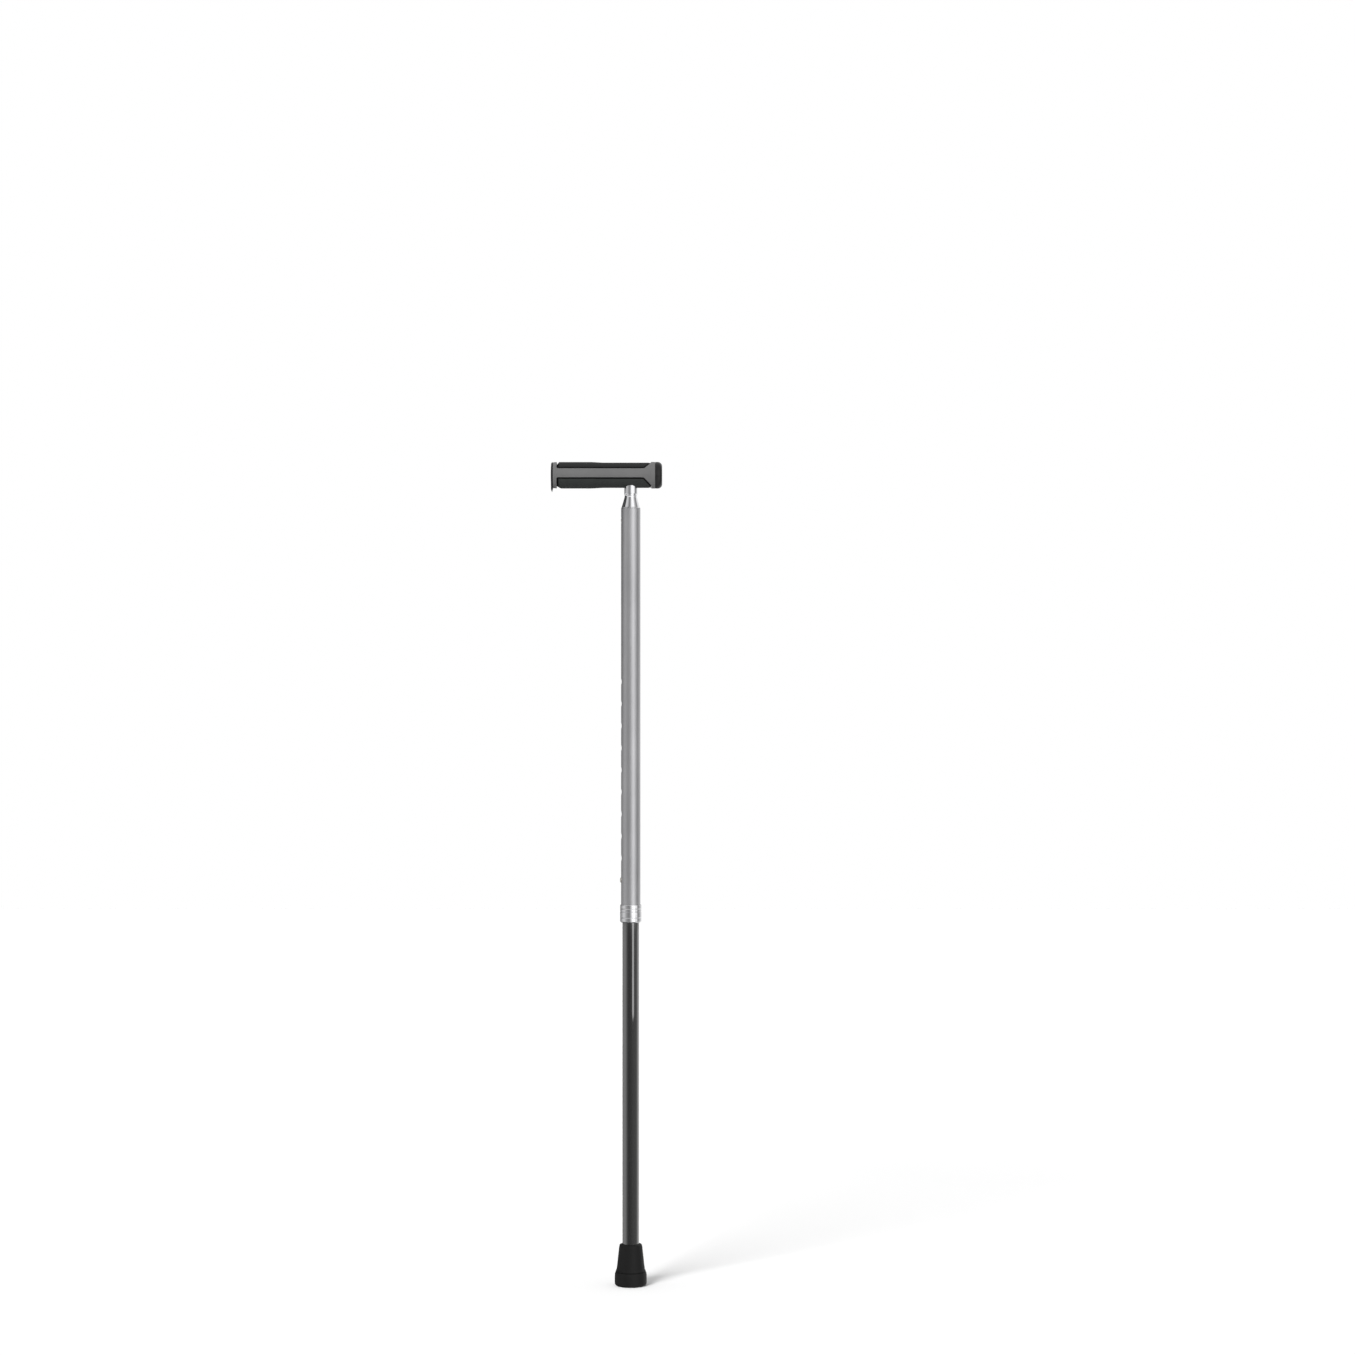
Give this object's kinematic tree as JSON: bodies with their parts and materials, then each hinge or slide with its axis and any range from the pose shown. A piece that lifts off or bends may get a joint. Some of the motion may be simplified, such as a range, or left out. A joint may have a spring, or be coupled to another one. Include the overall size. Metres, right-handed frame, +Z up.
{
  "type": "walking cane",
  "caption": "Height-adjustable walking cane: T handle with soft inlays on a polished neck, satin upper tube, black lower tube, twist lock collar and rubber tip.",
  "frame": {"origin": "centre of the rubber tip's sole, on the floor and on the shaft's axis", "axes": "+Z up along the shaft, -X along the handle's long nose and towards the snap buttons, Y across the handle"},
  "size_m": [0.1283, 0.037, 0.9493],
  "materials": {
    "rubber": "moulded, matt",
    "soft_grip": "soft moulded, fine texture",
    "black_plastic": "moulded, matt",
    "grey_plastic": "moulded, fine grain",
    "nylon": "natural, moulded",
    "satin_aluminium": "clear anodised, satin",
    "black_aluminium": "black anodised, satin",
    "polished_aluminium": "turned and polished",
    "steel": "bright"
  },
  "bodies": {
    "lower_leg": {"rubber_tip": "rubber", "tip_washer": "steel", "lower_tube": "black_aluminium", "guide_bush": "nylon", "height_button_spring": "steel"},
    "height_button": {"height_button": "polished_aluminium"},
    "upper_shaft": {"upper_tube": "satin_aluminium", "compression_ring": "nylon"},
    "lock_collar": {"lock_collar": "polished_aluminium"},
    "head": {"neck": "polished_aluminium", "neck_bolt": "steel", "neck_washer": "steel", "neck_dowel": "steel", "head_button_spring": "steel", "handle_core": "grey_plastic", "grip_top_inlay": "soft_grip", "grip_bottom_inlay": "soft_grip", "front_cap": "black_plastic", "rear_cap": "black_plastic"},
    "head_button": {"head_button": "polished_aluminium"}
  },
  "joints": [
    {"name": "height_adjust", "type": "slide", "parent": "lower_leg", "child": "upper_shaft", "axis": [0, 0, -1], "range_m": [0, 0.2286], "deforming": ["height_button"]},
    {"name": "height_button_press", "type": "slide", "parent": "lower_leg", "child": "height_button", "axis": [1, 0, 0], "range_m": [0, 0.0028], "stiffness_N_per_m": 2000, "springref_m": -0.001, "deforming": ["height_button_spring"]},
    {"name": "collar_turn", "type": "hinge", "parent": "upper_shaft", "child": "lock_collar", "pos_m": [0, 0, 0.4288], "axis": [0, 0, 1], "range_deg": [0, 270]},
    {"name": "head_release", "type": "slide", "parent": "upper_shaft", "child": "head", "axis": [0, 0, 1], "range_m": [0, 0.04], "deforming": ["head_button"]},
    {"name": "head_button_press", "type": "slide", "parent": "head", "child": "head_button", "axis": [1, 0, 0], "range_m": [0, 0.0018], "stiffness_N_per_m": 2000, "springref_m": -0.001, "deforming": ["head_button_spring"]}
  ]
}
